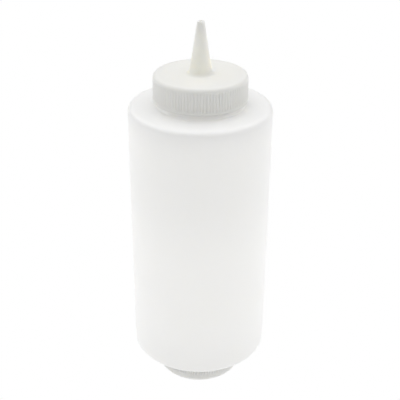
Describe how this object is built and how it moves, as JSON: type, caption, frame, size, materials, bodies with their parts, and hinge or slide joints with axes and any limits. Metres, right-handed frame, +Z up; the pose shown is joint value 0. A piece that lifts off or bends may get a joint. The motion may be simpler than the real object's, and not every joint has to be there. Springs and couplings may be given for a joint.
{
  "type": "squeeze bottle",
  "caption": "Translucent white squeeze bottle for sauces: straight body, cone-tip screw cap on top, and a plain screw cap over the filling mouth that serves as its foot.",
  "frame": {"origin": "middle of the bottom cap's underside, on the bottle's axis", "axes": "+Z up along the bottle's axis, towards the cone tip"},
  "size_m": [0.086, 0.086, 0.2393],
  "materials": {
    "bottle_plastic": "translucent natural white LDPE, satin",
    "cap_plastic": "slightly warm translucent white LDPE, satin",
    "seal_foam": "white foamed polyethylene liner, matte"
  },
  "bodies": {
    "bottle": {"bottle": "bottle_plastic"},
    "top_seal": {"top_seal": "seal_foam"},
    "top_cap": {"top_cap": "cap_plastic"},
    "bottom_seal": {"bottom_seal": "seal_foam"},
    "bottom_cap": {"bottom_cap": "cap_plastic"}
  },
  "joints": [
    {"name": "top_cap_lift", "type": "slide", "parent": "bottle", "child": "top_seal", "axis": [0, 0, 1], "range_m": [0, 0.0212]},
    {"name": "top_cap_turn", "type": "hinge", "parent": "top_seal", "child": "top_cap", "pos_m": [0, 0, 0.2052], "axis": [0, 0, 1], "range_deg": [0, 1800]},
    {"name": "bottom_cap_lift", "type": "slide", "parent": "bottle", "child": "bottom_seal", "axis": [0, 0, -1], "range_m": [0, 0.0212]},
    {"name": "bottom_cap_turn", "type": "hinge", "parent": "bottom_seal", "child": "bottom_cap", "pos_m": [0, 0, 0.0036], "axis": [0, 0, -1], "range_deg": [0, 1800]}
  ],
  "couplings": [
    {"joint": "top_cap_lift", "follows": "top_cap_turn", "m_per_rad": 0.00067323},
    {"joint": "bottom_cap_lift", "follows": "bottom_cap_turn", "m_per_rad": 0.00067323}
  ]
}
